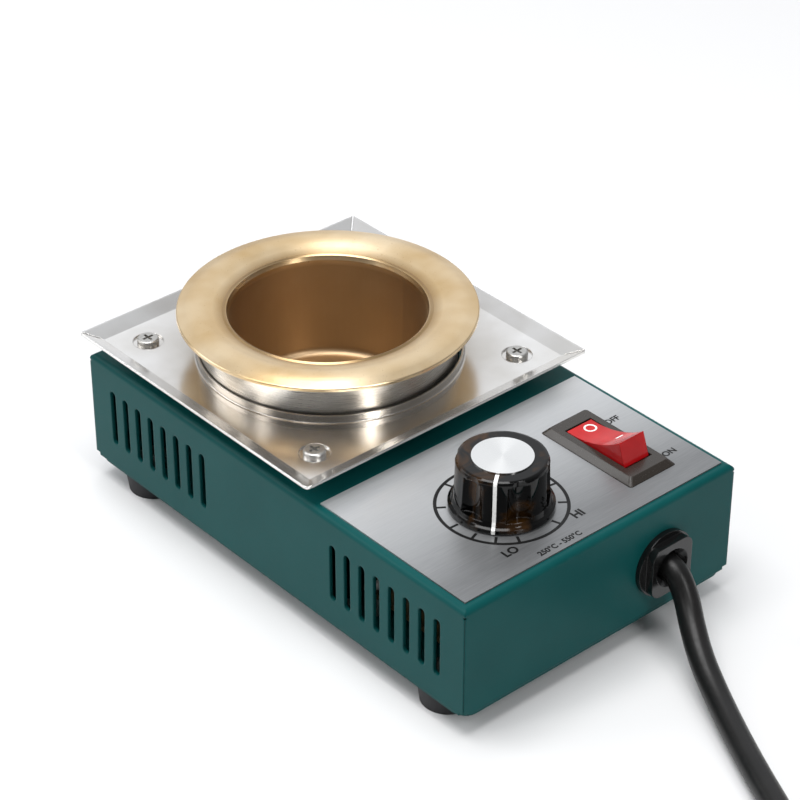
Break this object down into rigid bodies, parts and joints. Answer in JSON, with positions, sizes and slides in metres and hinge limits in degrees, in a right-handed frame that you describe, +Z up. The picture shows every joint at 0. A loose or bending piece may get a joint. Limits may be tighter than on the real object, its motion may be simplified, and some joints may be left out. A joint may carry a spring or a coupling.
{
  "type": "solder pot",
  "caption": "Bench solder pot: a vented steel housing with a control knob and a rocker switch in front of a round crucible in a heater can above a raised drip plate.",
  "frame": {"origin": "middle of the housing and drip plate in plan, on the surface that the rubber feet stand on", "axes": "+Z up; +Y from the front wall with the cord entry to the back under the crucible; +X to the right when seen from the front"},
  "size_m": [0.104, 0.3427, 0.0554],
  "materials": {
    "housing_paint": "satin dark green powder coat",
    "plated_sheet": "zinc plated",
    "foot_rubber": "matt",
    "fastener_steel": "zinc plated",
    "drip_plate_steel": "bright rolled stainless",
    "crucible_metal": "satin, turned",
    "can_steel": "brushed round the axis",
    "heater_mica": "dull, heat marked",
    "wool": "fibrous",
    "label_foil": "fine brushed, printed",
    "knob_plastic": "gloss black",
    "knob_aluminium": "spun",
    "pointer_white": "gloss white",
    "brass_fittings": "plain",
    "control_metal": "plain",
    "switch_black": "fine texture",
    "rocker_red": "translucent gloss red",
    "lamp_glass": "clear",
    "board_laminate": "satin",
    "nylon": "natural",
    "epoxy": "moulded",
    "sink_aluminium": "plain",
    "capacitor_yellow": "gloss",
    "choke_green": "coated",
    "steatite": "unglazed",
    "live_insulation": "brown sleeve",
    "neutral_insulation": "blue sleeve",
    "earth_insulation": "green and yellow sleeve",
    "heater_sleeve": "glass fibre sleeve",
    "gland_nylon": "satin black",
    "cord_jacket": "satin black",
    "plug_black": "satin black",
    "plug_brass": "plain"
  },
  "bodies": {
    "pot": {"housing_shell": "housing_paint", "base_plate": "housing_paint", "support_bridge": "plated_sheet", "earth_lug": "plated_sheet", "foot_front_left": "foot_rubber", "foot_front_right": "foot_rubber", "foot_back_left": "foot_rubber", "foot_back_right": "foot_rubber", "foot_screws": "fastener_steel", "foot_nuts": "fastener_steel", "bottom_screws": "fastener_steel", "bottom_nuts": "fastener_steel", "plate_screws": "fastener_steel", "plate_nuts": "fastener_steel", "plate_spacers": "fastener_steel", "crucible_stud": "fastener_steel", "stud_washer": "fastener_steel", "stud_nut": "fastener_steel", "heater_clamp_screw": "fastener_steel", "control_nut": "fastener_steel", "control_washer": "fastener_steel", "switch_pivot": "fastener_steel", "drip_plate": "drip_plate_steel", "crucible": "crucible_metal", "heater_can": "can_steel", "heater_band": "heater_mica", "insulation_wrap": "wool", "insulation_base": "wool", "control_label": "label_foil", "switch_terminals": "brass_fittings", "terminal_screws": "brass_fittings", "control_body": "control_metal", "switch_body": "switch_black", "neon_lamp": "lamp_glass", "circuit_board": "board_laminate", "board_standoffs": "nylon", "triac": "epoxy", "heatsink": "sink_aluminium", "capacitor": "capacitor_yellow", "choke": "choke_green", "terminal_block": "steatite", "circuit_wires": "live_insulation", "neutral_wire": "neutral_insulation", "earth_wire": "earth_insulation", "heater_wires": "heater_sleeve", "strain_relief_bushing": "gland_nylon", "strain_relief_wedge": "gland_nylon", "power_cord": "cord_jacket", "power_cord_coil": "cord_jacket", "power_cord_tail": "cord_jacket", "plug_body": "plug_black", "plug_pins": "plug_brass"},
    "knob": {"knob_body": "knob_plastic", "knob_cap": "knob_aluminium", "knob_pointer": "pointer_white", "knob_bushing": "brass_fittings", "knob_set_screw": "fastener_steel", "control_shaft": "control_metal"},
    "rocker": {"switch_rocker": "rocker_red", "switch_contact_blade": "brass_fittings"}
  },
  "joints": [
    {"name": "knob_turn", "type": "hinge", "parent": "pot", "child": "knob", "pos_m": [-0.0099, -0.0472, 0.0447], "axis": [0, 0, 1], "range_deg": [-289.6, 24.6]},
    {"name": "rocker_tilt", "type": "hinge", "parent": "pot", "child": "rocker", "pos_m": [0.0252, -0.0472, 0.038], "axis": [1, 0, 0], "range_deg": [0, 35]}
  ]
}
